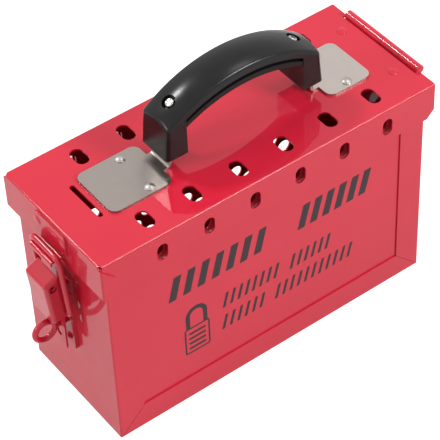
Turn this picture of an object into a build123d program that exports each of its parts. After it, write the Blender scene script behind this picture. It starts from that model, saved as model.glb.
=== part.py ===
from build123d import *
import math
import os

os.makedirs("parts", exist_ok=True)

# Group lockout box. Millimetres. The origin is under the middle of the body, on the
# surface that the box stands on. X runs along the box from the latch end to the hinge
# end, Y runs to the rear and Z runs up.

# Lid
lid_length = 230.0
lid_width = 92.0
lid_top = 145.5
lid_sheet = 1.2
lid_skirt = 24.0
lid_side_clearance = 1.8
lid_end_clearance = 3.2
lid_rim_clearance = 0.3
skirt_corner_cut = 5.0
end_tab_length = 9.5
end_tab_foot_cut = 4.0
corner_relief_radius = 1.5

# Body
body_sheet = 0.9
frame_border = 17.4
mitre_gap = 0.3
mitre_depth = 0.5
outer_bend_radius = 1.0
panel_sheet = 1.0
panel_clearance = 0.3

# Padlock stations and key slot
station_count = 6
station_pitch = 31.1
station_shift = 2.6
top_hole_width = 8.0
top_hole_length = 13.5
top_hole_row = 31.0
side_slot_width = 7.0
side_slot_length = 11.5
side_slot_drop = 13.0
key_slot_width = 3.2
key_slot_length = 30.0
key_slot_from_end = 23.1

# Sight holes in the rear panel
sight_hole = 9.0
sight_pitch = 18.4
sight_rows = 5
sight_columns = 8
sight_middle = 67.6

# Hinge
hinge_length = 64.0
knuckle_count = 4
knuckle_gap = 0.3
hinge_pin_diameter = 3.2
hinge_pin_clearance = 0.05
hinge_sheet = 1.2
hinge_leaf_reach = 18.0
hinge_leaf_drop = 26.0
hinge_leaf_gap = 0.4
joggle_height = 4.0
barrel_notch_gap = 0.7
hinge_rivet_spacing = 46.0
hinge_rivet_inset = 6.5

# Rivets: head diameter, head height, shank diameter, tail diameter, tail height
rivet_shank = 4.0
hinge_rivet_head = 6.5
hinge_rivet_height = 0.7
plate_rivet_head = 6.0
plate_rivet_height = 1.5
rivet_tail = 5.6
rivet_tail_height = 0.9

# Handle
handle_middle = 7.45
handle_span = 107.9
handle_width = 24.4
foot_length = 14.1
foot_clearance = 8.0
foot_top_rise = 20.5
foot_lean = 2.2
handle_height = 49.0
grip_thickness = 13.4
grip_arc = 83.6
grip_crown = 2.4
insert_arc = 85.0
insert_depth = 3.3
insert_groove = 2.6
insert_rib_end = 8.0
insert_inset = 0.3
insert_rib_height = 3.0
grip_wall = 2.6
grip_edge_radius = 2.4
shoulder_radius = 3.0
insert_gap = 0.2
plate_sheet = 1.5
plate_width = 37.0
plate_corner = 5.0
left_plate_length = 40.5
right_plate_length = 30.5
tongue_width = 16.0
strap_bend = 2.6
strap_inset = 4.65
strap_tip_length = 11.0
strap_clearance = 0.75
screw_boss = 6.4
plate_rivet_spacing = 28.0
plate_rivet_inset = 13.7
screw_from_end = 12.65
screw_diameter = 3.2
screw_head = 5.8
screw_head_height = 2.6
screw_recess = 8.4
screw_recess_depth = 0.6
screw_length = 4.6
screw_slot_width = 0.9
screw_slot_depth = 1.2

# Keeper on the lid's end. Drops are measured down from the lid's top
keeper_sheet = 1.2
keeper_width = 30.0
keeper_drop = 2.5
keeper_corner = 2.5
ledge_width = 20.4
ledge_drop = 19.5
ledge_reach = 8.2
ledge_lip_drop = 2.2
keeper_bend = 1.4
lip_bend = 0.7
keeper_rivet_spacing = 24.0
keeper_rivet_drop = 8.5

# Latch. The pivot's drop is measured down from the keeper's ledge, and the others from the pivot
latch_sheet = 1.2
pivot_drop = 20.5
pivot_stand_off = 13.4
pivot_pin_diameter = 4.6
pivot_pin_wall = 0.4
pivot_flare_diameter = 5.6
pivot_flare_length = 1.4
pivot_clearance = 0.06
base_width = 14.4
base_flange = 1.3
base_head_drop = 4.5
base_foot_drop = 58.1
base_upper_rivet = 5.0
base_lower_rivet = 4.2
base_rivet_head = 5.0
ear_radius = 3.5
ear_head_drop = 14.0
ear_height = 9.5
lever_width = 20.0
lever_bend = 2.0
lever_ridge_depth = 5.4
lever_ridge_rise = 4.0
lever_top_depth = 8.9
lever_top_rise = 4.1
lever_side_reach = 10.0
lever_tail_drop = 26.7
lever_tail_depth = 2.4
lever_tail_corner = 2.0
hasp_half_width = 6.0
hasp_stand_off = 6.2
hasp_head_drop = 17.3
hasp_head_height = 3.5
hasp_foot_drop = 57.0
hasp_corner = 3.0
hasp_slot_width = 4.8
hasp_slot_length = 18.6
bail_wire = 3.5
bail_width = 25.6
bail_bend = 4.0
bail_pivot_drop = 23.0
bail_pivot_stand_off = 6.2
bail_clearance = 0.06
bail_end_gap = 0.4
crossbar_stand_off = 9.7
crossbar_gap = 0.7
eye_drop = 39.5
eye_wire = 3.6
eye_hole = 9.2
eye_reach = 24.8
eye_spigot = 3.0

# Places worked out from the sizes above
body_length = lid_length - 2 * (lid_sheet + lid_end_clearance)
body_width = lid_width - 2 * (lid_sheet + lid_side_clearance)
rim_height = lid_top - lid_sheet - lid_rim_clearance
body_end = body_length / 2
body_side = body_width / 2
lid_end = lid_length / 2
lid_side = lid_width / 2
lid_under = lid_top - lid_sheet
skirt_foot = lid_top - lid_skirt
window_side = body_end - frame_border
panel_face = body_side - body_sheet
station_x = [station_shift + station_pitch * (i - (station_count - 1) / 2) for i in range(station_count)]
slot_height = lid_top - side_slot_drop

barrel_radius = hinge_pin_diameter / 2 + hinge_pin_clearance + hinge_sheet
leaf_offset = barrel_radius - hinge_sheet / 2
hinge_z = lid_under - hinge_sheet + barrel_radius
hinge_x = lid_end + 0.8
hinge_wall_top = lid_under - hinge_sheet - hinge_leaf_gap
leaf_foot_x = body_end + hinge_sheet / 2
leaf_head_x = hinge_x - leaf_offset
leaf_rivet_z = hinge_wall_top - hinge_leaf_drop / 2

foot_base = lid_top + plate_sheet + foot_clearance
foot_top = foot_base + foot_top_rise
handle_top = foot_base + handle_height - foot_clearance
grip_centre = handle_top - grip_crown - grip_arc
insert_centre = handle_top - grip_thickness - insert_arc
foot_out = handle_span / 2
foot_in = foot_out - foot_length
screw_reach = foot_out - screw_from_end
strap_x = foot_out - foot_length / 2
strap_foot_x = foot_out - strap_inset
plate_mid = lid_top + plate_sheet / 2
strap_depth = grip_wall + strap_clearance + plate_sheet / 2

ledge_top = lid_top - ledge_drop
keeper_top = lid_top - keeper_drop
keeper_rivet_height = lid_top - keeper_rivet_drop
pivot_height = ledge_top - pivot_drop
base_head = pivot_height - base_head_drop
base_foot = pivot_height - base_foot_drop
base_rivet_heights = (base_foot + base_lower_rivet, base_head - base_upper_rivet)
lever_tail_height = pivot_height - lever_tail_drop
hasp_head = pivot_height - hasp_head_drop
hasp_foot = pivot_height - hasp_foot_drop
bail_pivot_height = pivot_height - bail_pivot_drop
eye_height = pivot_height - eye_drop
pivot_x = -body_end - pivot_stand_off
bail_pivot_x = -body_end - bail_pivot_stand_off
crossbar_x = -body_end - crossbar_stand_off
crossbar_z = ledge_top + bail_wire / 2 + crossbar_gap
keeper_face = -lid_end - keeper_sheet
web_face = -body_end - latch_sheet


def symmetric_block(x_range, y_half, z_range, mode=Mode.ADD):
    """A block that is centred on the X axis, between two X and two Z values."""
    length = x_range[1] - x_range[0]
    height = z_range[1] - z_range[0]
    with Locations(((x_range[0] + x_range[1]) / 2, 0, (z_range[0] + z_range[1]) / 2)):
        Box(length, 2 * y_half, height, mode=mode)


def rivet_profile(head, head_height, shank, grip, tail, tail_height):
    """A domed rivet along Z: the head sits above Z = 0."""
    rim = 0.25 * head_height
    cap = head_height - rim
    dome_radius = ((head / 2) ** 2 + cap**2) / (2 * cap)
    half_turn = math.asin(head / 2 / dome_radius) / 2
    dome_middle = (dome_radius * math.sin(half_turn), head_height - dome_radius * (1 - math.cos(half_turn)))
    with BuildSketch(Plane.XZ) as half_section:
        with BuildLine():
            Polyline(
                (0, head_height),
                (0, -grip - tail_height),
                (tail / 2, -grip - tail_height),
                (tail / 2, -grip),
                (shank / 2, -grip),
                (shank / 2, 0),
                (head / 2, 0),
                (head / 2, rim),
            )
            ThreePointArc((head / 2, rim), dome_middle, (0, head_height))
        make_face()
    revolve(half_section.sketch, axis=Axis.Z)


# Body: bottom, two ends and a folded frame round the front and the rear
with BuildPart() as body_shell:
    with Locations((0, 0, 0)):
        Box(body_length, body_width, rim_height, align=(Align.CENTER, Align.CENTER, Align.MIN))
    upright = body_shell.edges().filter_by(Axis.Z)
    bottom = body_shell.edges().group_by(Axis.Z)[0]
    fillet(upright + bottom, outer_bend_radius)
    symmetric_block(
        (-body_end + body_sheet, body_end - body_sheet),
        body_side - body_sheet,
        (body_sheet, rim_height + 1),
        Mode.SUBTRACT,
    )
    symmetric_block((-window_side, window_side), body_side + 1, (frame_border, rim_height + 1), Mode.SUBTRACT)
    # The hinge end is lower by the leaf that lies on it
    symmetric_block((body_end - 2 * body_sheet, body_end + 1), body_side + 1, (hinge_wall_top, rim_height + 1), Mode.SUBTRACT)
    # Mitre seams of the folded frame, from the window's corner to just short of the bends
    seam_start = math.sqrt(2) * (outer_bend_radius + 2 * mitre_gap)
    seam_end = math.sqrt(2) * (frame_border + mitre_gap)
    seam_middle = (seam_start + seam_end) / 2 / math.sqrt(2)
    for side in (-1, 1):
        for end in (-1, 1):
            seam = Plane(
                origin=(end * (body_end - seam_middle), side * body_side, seam_middle),
                x_dir=(end, 0, -1),
                z_dir=(0, 1, 0),
            )
            with Locations(seam):
                Box(seam_end - seam_start, mitre_gap, 2 * mitre_depth, mode=Mode.SUBTRACT)
    # Holes for the rivets of the hinge, the rivets of the latch base and the eye's spigot
    with BuildSketch(Plane.YZ.offset(body_end - body_sheet - 1)):
        with Locations(*[(side * hinge_rivet_spacing / 2, leaf_rivet_z) for side in (-1, 1)]):
            Circle(rivet_shank / 2)
    extrude(amount=body_sheet + 2, mode=Mode.SUBTRACT)
    with BuildSketch(Plane.YZ.offset(-body_end - 1)):
        with Locations(*[(0, z) for z in base_rivet_heights]):
            Circle(rivet_shank / 2)
        with Locations((0, eye_height)):
            Circle(eye_spigot / 2)
    extrude(amount=body_sheet + 2, mode=Mode.SUBTRACT)
body_shell.part.label = "body_shell"


def panel_blank(side):
    """Front (side -1) or rear (side 1) panel behind the frame, with its padlock slots."""
    panel_foot = body_sheet + panel_clearance
    panel_head = rim_height
    panel_end = body_end - body_sheet - panel_clearance
    middle = side * (panel_face - panel_sheet / 2)
    with BuildSketch(Plane.XZ.offset(-middle)) as blank:
        with BuildLine():
            Polyline(
                (-panel_end, panel_foot),
                (panel_end, panel_foot),
                (panel_end, panel_head),
                (-panel_end, panel_head),
                close=True,
            )
        make_face()
        with Locations(*[(x, slot_height) for x in station_x]):
            SlotOverall(side_slot_length, side_slot_width, rotation=90, mode=Mode.SUBTRACT)
    extrude(blank.sketch, amount=panel_sheet / 2, both=True)


with BuildPart() as front_panel:
    panel_blank(-1)
front_panel.part.label = "front_panel"

with BuildPart() as rear_panel:
    panel_blank(1)
    # Staggered sight holes: the odd rows have one hole more than the even rows
    for row in range(sight_rows):
        columns = sight_columns + row % 2
        row_height = sight_middle + (row - (sight_rows - 1) / 2) * sight_pitch / 2
        with BuildSketch(Plane.XZ.offset(-panel_face - 1)):
            with Locations((0, row_height)):
                with GridLocations(sight_pitch, 1, columns, 1):
                    Circle(sight_hole / 2)
        extrude(amount=panel_sheet + 2, mode=Mode.SUBTRACT)
rear_panel.part.label = "rear_panel"

# Lid: a shallow pan, open at the hinge end so that it can swing up past the body
with BuildPart() as lid_shell:
    with Locations((0, 0, skirt_foot)):
        Box(lid_length, lid_width, lid_skirt, align=(Align.CENTER, Align.CENTER, Align.MIN))
    top_edges = lid_shell.edges().group_by(Axis.Z)[-1]
    hinge_edge = top_edges.sort_by(Axis.X)[-1]
    bends = [edge for edge in top_edges if edge != hinge_edge]
    fillet(bends, outer_bend_radius)
    symmetric_block((-lid_end + lid_sheet, lid_end + 1), lid_side - lid_sheet, (skirt_foot - 1, lid_under), Mode.SUBTRACT)
    # Tabs of the end flange, folded round onto the front and rear skirts
    for side in (-1, 1):
        with BuildSketch(Plane.XZ.offset(-side * lid_side)):
            with BuildLine():
                Polyline(
                    (-lid_end, skirt_foot),
                    (-lid_end + end_tab_length - end_tab_foot_cut, skirt_foot),
                    (-lid_end + end_tab_length, skirt_foot + end_tab_foot_cut),
                    (-lid_end + end_tab_length, lid_top - end_tab_length - 2 * lid_sheet),
                    (-lid_end, lid_top - 2 * lid_sheet),
                    close=True,
                )
            make_face()
        extrude(amount=-side * lid_sheet)
    tab_bends = lid_shell.edges().filter_by(Axis.Z).group_by(Axis.X)[0]
    outer_bends = [edge for edge in tab_bends if abs(edge.center().Y) > lid_side]
    fillet(outer_bends, outer_bend_radius)
    # Corner reliefs where three folds meet
    with Locations(*[(-lid_end + lid_sheet / 2, side * (lid_side - lid_sheet / 2), lid_under) for side in (-1, 1)]):
        Sphere(corner_relief_radius, mode=Mode.SUBTRACT)
    # Lower corners of the skirts at the hinge end
    for side in (-1, 1):
        with BuildSketch(Plane.XZ.offset(-side * lid_side)):
            with BuildLine():
                Polyline(
                    (lid_end + 1, skirt_foot - 1),
                    (lid_end + 1, skirt_foot + skirt_corner_cut + 1),
                    (lid_end - skirt_corner_cut - 1, skirt_foot - 1),
                    close=True,
                )
            make_face()
        extrude(amount=side * 2 * lid_sheet, both=True, mode=Mode.SUBTRACT)
    # Notch for the hinge barrel
    symmetric_block(
        (hinge_x - barrel_radius - barrel_notch_gap, lid_end + 1),
        hinge_length / 2 + barrel_notch_gap,
        (lid_under - 1, lid_top + 1),
        Mode.SUBTRACT,
    )
    # Padlock holes in the top, key slot and padlock slots in the skirts
    with BuildSketch(Plane.XY.offset(lid_top + 1)):
        with Locations(*[(x, row * top_hole_row) for x in station_x for row in (-1, 1)]):
            SlotOverall(top_hole_length, top_hole_width, rotation=90)
        with Locations((-lid_end + key_slot_from_end, 0)):
            SlotOverall(key_slot_length, key_slot_width, rotation=90)
    extrude(amount=-lid_sheet - 2, mode=Mode.SUBTRACT)
    with BuildSketch(Plane.XZ):
        with Locations(*[(x, slot_height) for x in station_x]):
            SlotOverall(side_slot_length, side_slot_width, rotation=90)
    extrude(amount=lid_side + 2, both=True, mode=Mode.SUBTRACT)
    # Rivet holes of the hinge, the handle plates and the keeper
    hinge_rivet_x = body_end - hinge_rivet_inset - body_sheet / 2
    left_rivet_x = handle_middle - foot_out - plate_rivet_inset + 0.45
    right_rivet_x = handle_middle + foot_out + plate_rivet_inset + 1.5
    lid_rivet_places = [(hinge_rivet_x, side * hinge_rivet_spacing / 2) for side in (-1, 1)]
    lid_rivet_places += [(x, side * plate_rivet_spacing / 2) for x in (left_rivet_x, right_rivet_x) for side in (-1, 1)]
    with BuildSketch(Plane.XY.offset(lid_top + 1)):
        with Locations(*lid_rivet_places):
            Circle(rivet_shank / 2)
    extrude(amount=-lid_sheet - 2, mode=Mode.SUBTRACT)
    with BuildSketch(Plane.YZ.offset(-lid_end - 1)):
        with Locations(*[(side * keeper_rivet_spacing / 2, keeper_rivet_height) for side in (-1, 1)]):
            Circle(rivet_shank / 2)
    extrude(amount=lid_sheet + 2, mode=Mode.SUBTRACT)
lid_shell.part.label = "lid_shell"

# Hinge
knuckle_pitch = hinge_length / knuckle_count
knuckle_middles = [(i - (knuckle_count - 1) / 2) * knuckle_pitch for i in range(knuckle_count)]


def knuckles(first):
    """Every second barrel of the hinge, starting at the given one, with its bore."""
    for middle in knuckle_middles[first::2]:
        with Locations(Plane(origin=(hinge_x, middle, hinge_z), z_dir=(0, 1, 0))):
            Cylinder(barrel_radius, knuckle_pitch - knuckle_gap)
    with Locations(Plane(origin=(hinge_x, 0, hinge_z), z_dir=(0, 1, 0))):
        Cylinder(hinge_pin_diameter / 2 + hinge_pin_clearance, hinge_length + 2, mode=Mode.SUBTRACT)


def clear_other_knuckles(first, x_range, z_range):
    """Cut the sheet back where the other leaf has its barrels."""
    for middle in knuckle_middles[first::2]:
        with Locations(((x_range[0] + x_range[1]) / 2, middle, (z_range[0] + z_range[1]) / 2)):
            Box(x_range[1] - x_range[0], knuckle_pitch + knuckle_gap, z_range[1] - z_range[0], mode=Mode.SUBTRACT)


with BuildPart() as hinge_leaf_body:
    with BuildSketch(Plane.XZ):
        with BuildLine():
            Polyline(
                (leaf_foot_x, hinge_wall_top - hinge_leaf_drop),
                (leaf_foot_x, hinge_z - barrel_radius - 2 * joggle_height / 2 - 1),
                (leaf_head_x, hinge_z - barrel_radius - 1),
                (leaf_head_x, hinge_z),
            )
        trace(line_width=hinge_sheet)
    extrude(amount=hinge_length / 2 - knuckle_gap / 2, both=True)
    clear_other_knuckles(
        1,
        (hinge_x - barrel_radius - 1, hinge_x + barrel_radius + 1),
        (hinge_z - barrel_radius - knuckle_gap, hinge_z + barrel_radius + 1),
    )
    knuckles(0)
    with BuildSketch(Plane.YZ.offset(body_end - 1)):
        with Locations(*[(side * hinge_rivet_spacing / 2, leaf_rivet_z) for side in (-1, 1)]):
            Circle(rivet_shank / 2)
    extrude(amount=hinge_sheet + 2, mode=Mode.SUBTRACT)
hinge_leaf_body.part.label = "hinge_leaf_body"

with BuildPart() as hinge_leaf_lid:
    symmetric_block(
        (body_end - hinge_leaf_reach, hinge_x),
        hinge_length / 2 - knuckle_gap / 2,
        (lid_under - hinge_sheet, lid_under),
    )
    clear_other_knuckles(
        0,
        (hinge_x - barrel_radius - knuckle_gap, hinge_x + barrel_radius + 1),
        (hinge_z - barrel_radius - 1, hinge_z + barrel_radius + 1),
    )
    knuckles(1)
    with BuildSketch(Plane.XY.offset(lid_top)):
        with Locations(*[(hinge_rivet_x, side * hinge_rivet_spacing / 2) for side in (-1, 1)]):
            Circle(rivet_shank / 2)
    extrude(amount=-lid_sheet - hinge_sheet - 1, mode=Mode.SUBTRACT)
hinge_leaf_lid.part.label = "hinge_leaf_lid"

with BuildPart() as hinge_pin:
    with Locations(Plane(origin=(hinge_x, 0, hinge_z), z_dir=(0, 1, 0))):
        Cylinder(hinge_pin_diameter / 2, hinge_length)
hinge_pin.part.label = "hinge_pin"

# Rivets, one pattern for each pair of sheets that they join
with BuildPart() as lid_hinge_rivet:
    rivet_profile(
        hinge_rivet_head, hinge_rivet_height, rivet_shank, lid_sheet + hinge_sheet, rivet_tail, rivet_tail_height
    )

with BuildPart() as hinge_rivets_lid:
    with Locations(*[(hinge_rivet_x, side * hinge_rivet_spacing / 2, lid_top) for side in (-1, 1)]):
        add(lid_hinge_rivet.part)
hinge_rivets_lid.part.label = "hinge_rivets_lid"

with BuildPart() as wall_hinge_rivet:
    rivet_profile(
        hinge_rivet_head, hinge_rivet_height, rivet_shank, body_sheet + hinge_sheet, rivet_tail, rivet_tail_height
    )

with BuildPart() as hinge_rivets_body:
    for side in (-1, 1):
        spot = (body_end + hinge_sheet, side * hinge_rivet_spacing / 2, leaf_rivet_z)
        with Locations(Plane(origin=spot, z_dir=(1, 0, 0))):
            add(wall_hinge_rivet.part)
hinge_rivets_body.part.label = "hinge_rivets_body"

# Handle: moulded grip, underside insert, two steel straps, their rivets and screws
grip_mid_y = handle_width / 2


def grip_outline(inset, rise=0):
    """Outline of the arched grip with its two feet, set in by the given wall."""
    out_low = foot_out - inset
    out_high = foot_out - foot_lean - inset
    radius = grip_arc + rise - inset
    shoulder = grip_centre + math.sqrt(radius**2 - out_high**2)
    crown = grip_centre + radius
    return out_low, out_high, radius, shoulder, crown


with BuildPart() as handle_grip:
    out_low, out_high, radius, shoulder, crown = grip_outline(0, grip_crown)
    under_crown = insert_centre + insert_arc
    under_side = insert_centre + math.sqrt(insert_arc**2 - foot_in**2)
    lower_edge = insert_depth + insert_groove
    with BuildSketch(Plane.XZ):
        with BuildLine():
            Line((handle_middle - out_low, foot_base), (handle_middle - out_high, shoulder))
            ThreePointArc(
                (handle_middle - out_high, shoulder), (handle_middle, crown), (handle_middle + out_high, shoulder)
            )
            Line((handle_middle + out_high, shoulder), (handle_middle + out_low, foot_base))
            Line((handle_middle + out_low, foot_base), (handle_middle + foot_in, foot_base))
            Line((handle_middle + foot_in, foot_base), (handle_middle + foot_in, under_side + lower_edge))
            ThreePointArc(
                (handle_middle + foot_in, under_side + lower_edge),
                (handle_middle, under_crown + lower_edge),
                (handle_middle - foot_in, under_side + lower_edge),
            )
            Line((handle_middle - foot_in, under_side + lower_edge), (handle_middle - foot_in, foot_base))
            Line((handle_middle - foot_in, foot_base), (handle_middle - out_low, foot_base))
        make_face()
    extrude(amount=grip_mid_y, both=True)
    # The top is crowned across: highest along the middle, lowest at its two long edges.
    # The barrel that shapes it is wider than the grip, so that its rims lie outside.
    rim_y = 1.5 * grip_mid_y
    rim_drop = grip_crown * (rim_y / grip_mid_y) ** 2
    rim_radius = grip_arc + grip_crown - rim_drop
    with BuildSketch(Plane((handle_middle, 0, grip_centre))):
        with BuildLine():
            Polyline((rim_radius, rim_y), (0, rim_y), (0, -rim_y), (rim_radius, -rim_y))
            Bezier((rim_radius, -rim_y), (rim_radius + 2 * rim_drop, 0), (rim_radius, rim_y))
        make_face()
    revolve(axis=Axis((handle_middle, 0, grip_centre), (0, 1, 0)), mode=Mode.INTERSECT)
    raised_edges = [edge for edge in handle_grip.edges() if edge.center().Z > foot_base + 1]
    shoulders = [
        edge
        for edge in raised_edges
        if abs(edge.center().Y) < 1 and abs(edge.center().X - handle_middle) > strap_x
    ]
    fillet(shoulders, shoulder_radius)
    # Rounded long edges, which run on down the outer corners of the feet
    side_edges = [
        edge
        for edge in handle_grip.edges()
        if abs(edge.center().Y) > grip_mid_y - 0.1 and edge.center().Z > foot_base + 1
    ]
    rounded = [
        edge
        for edge in side_edges
        if abs(edge.center().X - handle_middle) > strap_x or edge.center().Z > grip_centre + grip_arc - 1
    ]
    fillet(rounded, grip_edge_radius)
    # Hollow for the straps and the insert
    out_low, out_high, radius, shoulder, crown = grip_outline(grip_wall)
    cavity_floor = foot_base - 1
    inner_wall_top = under_side + insert_depth / 2
    with BuildSketch(Plane.XZ):
        with BuildLine():
            Line((handle_middle - out_low, cavity_floor), (handle_middle - out_high, shoulder))
            ThreePointArc(
                (handle_middle - out_high, shoulder), (handle_middle, crown), (handle_middle + out_high, shoulder)
            )
            Line((handle_middle + out_high, shoulder), (handle_middle + out_low, cavity_floor))
            Line((handle_middle + out_low, cavity_floor), (handle_middle + foot_in + grip_wall, cavity_floor))
            Line(
                (handle_middle + foot_in + grip_wall, cavity_floor),
                (handle_middle + foot_in + grip_wall, inner_wall_top),
            )
            Line(
                (handle_middle + foot_in + grip_wall, inner_wall_top),
                (handle_middle + foot_in - 1, under_side),
            )
            ThreePointArc(
                (handle_middle + foot_in - 1, under_side),
                (handle_middle, under_crown),
                (handle_middle - foot_in + 1, under_side),
            )
            Line(
                (handle_middle - foot_in + 1, under_side),
                (handle_middle - foot_in - grip_wall, inner_wall_top),
            )
            Line(
                (handle_middle - foot_in - grip_wall, inner_wall_top),
                (handle_middle - foot_in - grip_wall, cavity_floor),
            )
            Line((handle_middle - foot_in - grip_wall, cavity_floor), (handle_middle - out_low, cavity_floor))
        make_face()
    extrude(amount=grip_mid_y - grip_wall, both=True, mode=Mode.SUBTRACT)
    # Screw holes and the round recesses for their heads
    screw_lean = math.asin(screw_reach / grip_arc)
    screw_planes = []
    for side in (-1, 1):
        seat = (
            handle_middle + side * screw_reach,
            0,
            grip_centre + math.sqrt(grip_arc**2 - screw_reach**2),
        )
        screw_planes.append(
            Plane(origin=seat, x_dir=(0, 1, 0), z_dir=(side * math.sin(screw_lean), 0, math.cos(screw_lean)))
        )
    boss_foot = grip_wall + strap_clearance
    for plane in screw_planes:
        with Locations(plane.offset(-boss_foot)):
            Cylinder(screw_boss / 2, boss_foot - grip_wall / 2, align=(Align.CENTER, Align.CENTER, Align.MIN))
        with Locations(plane.offset(-screw_recess_depth)):
            recess_height = screw_recess_depth + 2 * grip_crown
            Cylinder(
                screw_recess / 2, recess_height, align=(Align.CENTER, Align.CENTER, Align.MIN), mode=Mode.SUBTRACT
            )
            Cylinder(screw_diameter / 2, 4 * grip_wall, mode=Mode.SUBTRACT)
handle_grip.part.label = "handle_grip"


def arc_band(half_length, half_width, low, high):
    """A curved bar that follows the underside of the grip, between two heights above it."""
    drop = insert_centre + math.sqrt(insert_arc**2 - half_length**2)
    with BuildSketch(Plane.XZ) as band:
        with BuildLine():
            start = (handle_middle - half_length, drop + low)
            end = (handle_middle + half_length, drop + low)
            ThreePointArc(start, (handle_middle, under_crown + low), end)
            Line(end, (handle_middle + half_length, drop + high))
            ThreePointArc(
                (handle_middle + half_length, drop + high),
                (handle_middle, under_crown + high),
                (handle_middle - half_length, drop + high),
            )
            Line((handle_middle - half_length, drop + high), start)
        make_face()
    extrude(band.sketch, amount=half_width, both=True)


with BuildPart() as handle_insert:
    arc_band(foot_in - insert_gap, grip_mid_y - insert_inset, 0, insert_depth)
    rib_half = grip_mid_y - grip_wall - insert_gap
    arc_band(foot_in - insert_gap - insert_rib_end, rib_half, insert_depth / 2, insert_depth + insert_rib_height)
handle_insert.part.label = "handle_insert"


def handle_strap(side, plate_length, rivet_x):
    """Steel strap: wide plate on the lid, tongue under the foot, bent up into the grip."""
    plate_in = handle_middle + side * foot_out
    plate_out = plate_in + side * plate_length
    bend_x = handle_middle + side * strap_foot_x
    knee_x = handle_middle + side * strap_x
    lean = screw_lean
    seat_radius = grip_arc - strap_depth
    seat = (handle_middle + side * seat_radius * math.sin(lean), grip_centre + seat_radius * math.cos(lean))
    along = (-side * math.cos(lean), math.sin(lean))
    rise = (knee_x - seat[0]) / along[0]
    knee = (knee_x, seat[1] + rise * along[1])
    tip = (seat[0] + along[0] * strap_tip_length / 2, seat[1] + along[1] * strap_tip_length / 2)
    with BuildSketch(Plane.XZ) as strap_edge:
        with BuildLine():
            FilletPolyline((plate_in, plate_mid), (bend_x, plate_mid), knee, tip, radius=strap_bend)
        trace(line_width=plate_sheet)
    extrude(strap_edge.sketch, amount=tongue_width / 2, both=True)
    with BuildSketch(Plane.XY.offset(lid_top)) as plate:
        with Locations(((plate_in + plate_out) / 2, 0)):
            RectangleRounded(plate_length, plate_width, plate_corner)
    extrude(plate.sketch, amount=plate_sheet)
    with BuildSketch(Plane.XY.offset(lid_top - 1)) as rivet_holes:
        with Locations(*[(rivet_x, row * plate_rivet_spacing / 2) for row in (-1, 1)]):
            Circle(rivet_shank / 2)
    extrude(rivet_holes.sketch, amount=plate_sheet + 2, mode=Mode.SUBTRACT)


def strap_screw_hole(plane):
    """Tapped hole where the grip's screw bites into the strap."""
    with Locations(plane.offset(-strap_depth)):
        Cylinder(screw_diameter / 2, 4 * plate_sheet, mode=Mode.SUBTRACT)


with BuildPart() as handle_bracket_left:
    handle_strap(-1, left_plate_length, left_rivet_x)
    strap_screw_hole(screw_planes[0])
handle_bracket_left.part.label = "handle_bracket_left"

with BuildPart() as handle_bracket_right:
    handle_strap(1, right_plate_length, right_rivet_x)
    strap_screw_hole(screw_planes[1])
handle_bracket_right.part.label = "handle_bracket_right"

with BuildPart() as plate_rivet:
    rivet_profile(
        plate_rivet_head, plate_rivet_height, rivet_shank, plate_sheet + lid_sheet, rivet_tail, rivet_tail_height
    )

with BuildPart() as handle_rivets_left:
    with Locations(*[(left_rivet_x, side * plate_rivet_spacing / 2, lid_top + plate_sheet) for side in (-1, 1)]):
        add(plate_rivet.part)
handle_rivets_left.part.label = "handle_rivets_left"

with BuildPart() as handle_rivets_right:
    with Locations(*[(right_rivet_x, side * plate_rivet_spacing / 2, lid_top + plate_sheet) for side in (-1, 1)]):
        add(plate_rivet.part)
handle_rivets_right.part.label = "handle_rivets_right"

# Pan-head screw along Z: the head's underside is at Z = 0
with BuildPart() as grip_screw:
    Cylinder(screw_diameter / 2, screw_length, align=(Align.CENTER, Align.CENTER, Align.MAX))
    Cylinder(screw_head / 2, screw_head_height, align=(Align.CENTER, Align.CENTER, Align.MIN))
    fillet(grip_screw.edges().group_by(Axis.Z)[-1], screw_head_height / 2)
    for turn in (0, 90):
        with Locations(Location((0, 0, screw_head_height), (0, 0, turn))):
            Box(screw_head * 0.62, screw_slot_width, 2 * screw_slot_depth, mode=Mode.SUBTRACT)

with BuildPart() as handle_screw_left:
    with Locations(screw_planes[0].offset(-screw_recess_depth)):
        add(grip_screw.part)
handle_screw_left.part.label = "handle_screw_left"

with BuildPart() as handle_screw_right:
    with Locations(screw_planes[1].offset(-screw_recess_depth)):
        add(grip_screw.part)
handle_screw_right.part.label = "handle_screw_right"

# Latch base: a channel on the end wall, with two ears that carry the lever's pivot
base_side = base_width / 2
ear_high = (web_face, pivot_height - ear_head_drop)
ear_low = (web_face, ear_high[1] - ear_height)
flange_face = web_face - base_flange


def tangent_point(point, turn):
    """Where a line from the point touches the ear's round end."""
    reach = math.hypot(point[0] - pivot_x, point[1] - pivot_height)
    angle = math.atan2(point[1] - pivot_height, point[0] - pivot_x) + turn * math.acos(ear_radius / reach)
    return (pivot_x + ear_radius * math.cos(angle), pivot_height + ear_radius * math.sin(angle))


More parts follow.
